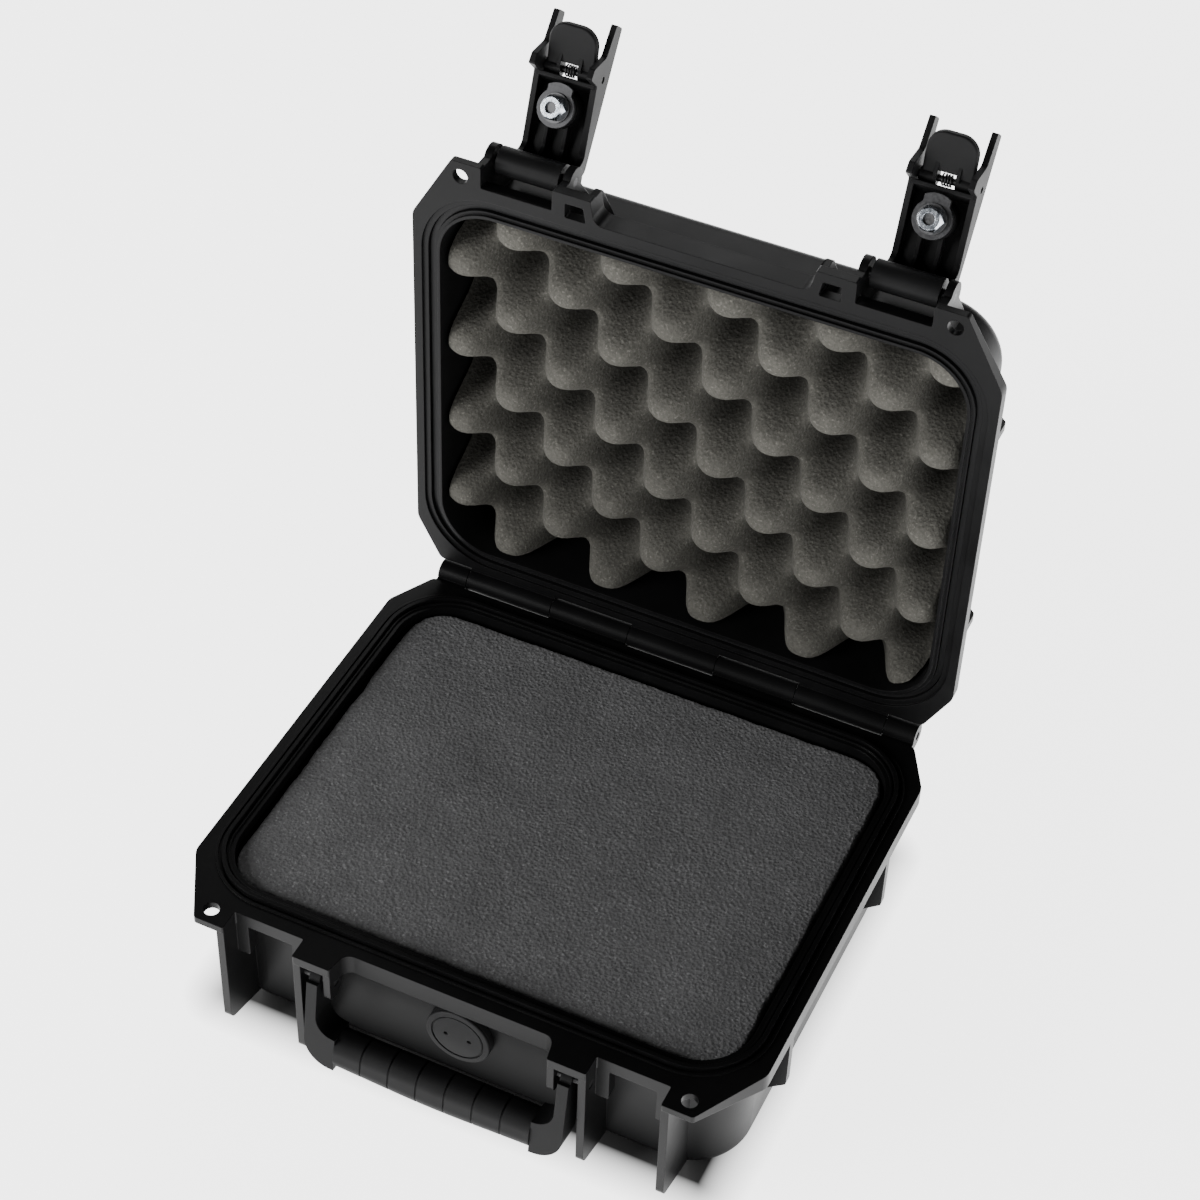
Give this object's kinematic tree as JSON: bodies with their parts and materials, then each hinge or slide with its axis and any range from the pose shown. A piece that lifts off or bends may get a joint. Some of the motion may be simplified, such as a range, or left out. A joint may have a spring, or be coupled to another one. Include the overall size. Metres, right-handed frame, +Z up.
{
  "type": "hard equipment case",
  "caption": "Small moulded equipment case with hinged lid, key-locking latches, folding carry handle, vent valve, foam block and egg-crate lid foam.",
  "frame": {"origin": "centre of the tub's flat underside", "axes": "+Z up through the tub; +X to the right seen from the front; the handle and latches are at -Y, the hinge at +Y"},
  "size_m": [0.266, 0.3142, 0.3482],
  "materials": {
    "case_plastic": "satin moulded polypropylene copolymer, fine texture",
    "latch_plastic": "satin glass-filled nylon",
    "base_foam": "fine open-cell polyurethane foam",
    "lid_foam": "convoluted open-cell polyurethane foam",
    "seal_rubber": "soft rubber",
    "handle_plastic": "satin moulded",
    "grip_rubber": "soft overmoulding",
    "valve_plastic": "satin moulded",
    "membrane": "porous film",
    "zinc": "bright zinc plate",
    "cam_steel": "dull plated steel",
    "lock_metal": "plated zinc alloy",
    "spring_steel": "drawn wire",
    "pin_steel": "stainless rod"
  },
  "bodies": {
    "base": {"base_shell": "case_plastic", "hinge_rod": "pin_steel", "base_foam_block": "base_foam", "base_foam_pad": "base_foam", "handle_pin_L": "pin_steel", "handle_pin_R": "pin_steel", "valve_body": "valve_plastic", "valve_cap": "valve_plastic", "valve_membrane": "membrane", "valve_nut": "valve_plastic", "valve_o_ring": "seal_rubber"},
    "lid": {"lid_shell": "case_plastic", "lid_gasket": "seal_rubber", "lid_foam": "lid_foam", "latch_pin_L": "pin_steel", "latch_pin_R": "pin_steel"},
    "handle": {"handle_frame": "handle_plastic", "handle_grip": "grip_rubber"},
    "latch_left": {"latch_body_L": "latch_plastic", "trigger_pin_L": "pin_steel", "trigger_spring_L": "spring_steel"},
    "trigger_left": {"trigger_L": "latch_plastic"},
    "lock_left": {"lock_cylinder_L": "lock_metal", "lock_cam_L": "cam_steel", "lock_washer_L": "lock_metal", "lock_nut_L": "zinc"},
    "latch_right": {"latch_body_R": "latch_plastic", "trigger_pin_R": "pin_steel", "trigger_spring_R": "spring_steel"},
    "trigger_right": {"trigger_R": "latch_plastic"},
    "lock_right": {"lock_cylinder_R": "lock_metal", "lock_cam_R": "cam_steel", "lock_washer_R": "lock_metal", "lock_nut_R": "zinc"}
  },
  "joints": [
    {"name": "lid_hinge", "type": "hinge", "parent": "base", "child": "lid", "pos_m": [0, 0.1148, 0.07], "axis": [1, 0, 0], "range_deg": [0, 90.5]},
    {"name": "handle_swing", "type": "hinge", "parent": "base", "child": "handle", "pos_m": [0, -0.1145, 0.057], "axis": [-1, 0, 0], "range_deg": [0, 95]},
    {"name": "latch_left_pivot", "type": "hinge", "parent": "lid", "child": "latch_left", "pos_m": [-0.084, 0.13231, 0.30016], "axis": [1, 0, 0], "range_deg": [0, 138]},
    {"name": "trigger_left_pull", "type": "hinge", "parent": "latch_left", "child": "trigger_left", "pos_m": [-0.084, 0.16833, 0.32735], "axis": [-1, 0, 0], "range_deg": [0, 25], "stiffness_Nm_per_rad": 0.03, "springref_deg": -20.05},
    {"name": "lock_left_turn", "type": "hinge", "parent": "latch_left", "child": "lock_left", "pos_m": [-0.084, 0.16572, 0.31008], "axis": [0, 0.8406, -0.5417], "range_deg": [0, 90]},
    {"name": "latch_right_pivot", "type": "hinge", "parent": "lid", "child": "latch_right", "pos_m": [0.084, 0.13231, 0.30016], "axis": [1, 0, 0], "range_deg": [0, 138]},
    {"name": "trigger_right_pull", "type": "hinge", "parent": "latch_right", "child": "trigger_right", "pos_m": [0.084, 0.16833, 0.32735], "axis": [-1, 0, 0], "range_deg": [0, 25], "stiffness_Nm_per_rad": 0.03, "springref_deg": -20.05},
    {"name": "lock_right_turn", "type": "hinge", "parent": "latch_right", "child": "lock_right", "pos_m": [0.084, 0.16572, 0.31008], "axis": [0, 0.8406, -0.5417], "range_deg": [0, 90]}
  ]
}
